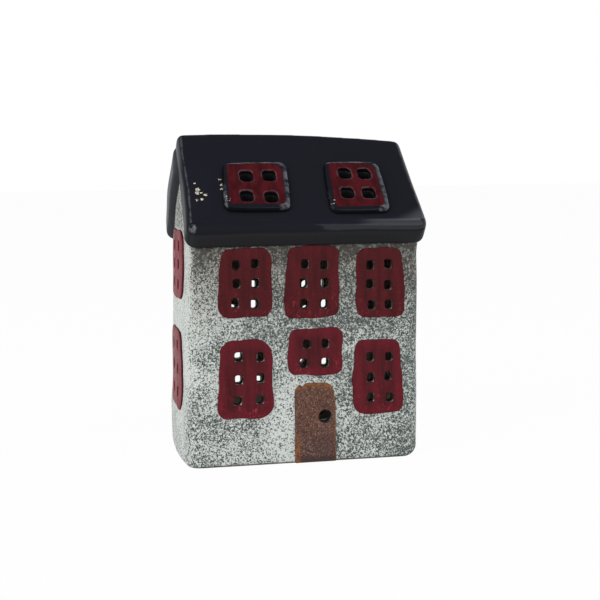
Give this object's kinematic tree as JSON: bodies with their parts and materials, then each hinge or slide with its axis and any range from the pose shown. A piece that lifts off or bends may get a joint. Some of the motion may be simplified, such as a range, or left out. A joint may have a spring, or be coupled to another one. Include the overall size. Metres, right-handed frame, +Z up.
{
  "type": "tealight house",
  "caption": "Slab-built ceramic house with a steep dark roof, pierced red windows and a brown door, set down over a tealight.",
  "frame": {"origin": "middle of the base, on the surface that the house stands on", "axes": "+Z up, front wall with the door towards -Y, +X to the right of someone who faces the front"},
  "size_m": [0.1082, 0.0772, 0.1434],
  "materials": {
    "wall_glaze": "speckled satin",
    "roof_glaze": "gloss",
    "window_glaze": "gloss",
    "door_clay": "rough",
    "cup_foil": "satin",
    "wax": "smooth",
    "wick_cotton": "braided",
    "sustainer_tin": "satin"
  },
  "bodies": {
    "tealight": {"tealight_cup": "cup_foil", "tealight_wax": "wax", "tealight_wick": "wick_cotton", "wick_sustainer": "sustainer_tin"},
    "house": {"front_wall": "wall_glaze", "back_wall": "wall_glaze", "left_gable_wall": "wall_glaze", "right_gable_wall": "wall_glaze", "front_roof_slab": "roof_glaze", "back_roof_slab": "roof_glaze", "left_skylight": "window_glaze", "right_skylight": "window_glaze", "upper_left_window": "window_glaze", "upper_middle_window": "window_glaze", "upper_right_window": "window_glaze", "lower_left_window": "window_glaze", "door_top_window": "window_glaze", "lower_right_window": "window_glaze", "left_gable_upper_window": "window_glaze", "left_gable_lower_window": "window_glaze", "right_gable_upper_window": "window_glaze", "right_gable_lower_window": "window_glaze", "back_upper_left_window": "window_glaze", "back_upper_right_window": "window_glaze", "back_lower_left_window": "window_glaze", "back_lower_right_window": "window_glaze", "door_panel": "door_clay"}
  },
  "joints": [
    {"name": "house_lift", "type": "slide", "parent": "tealight", "child": "house", "axis": [0, 0, 1], "range_m": [0, 0.1]}
  ]
}
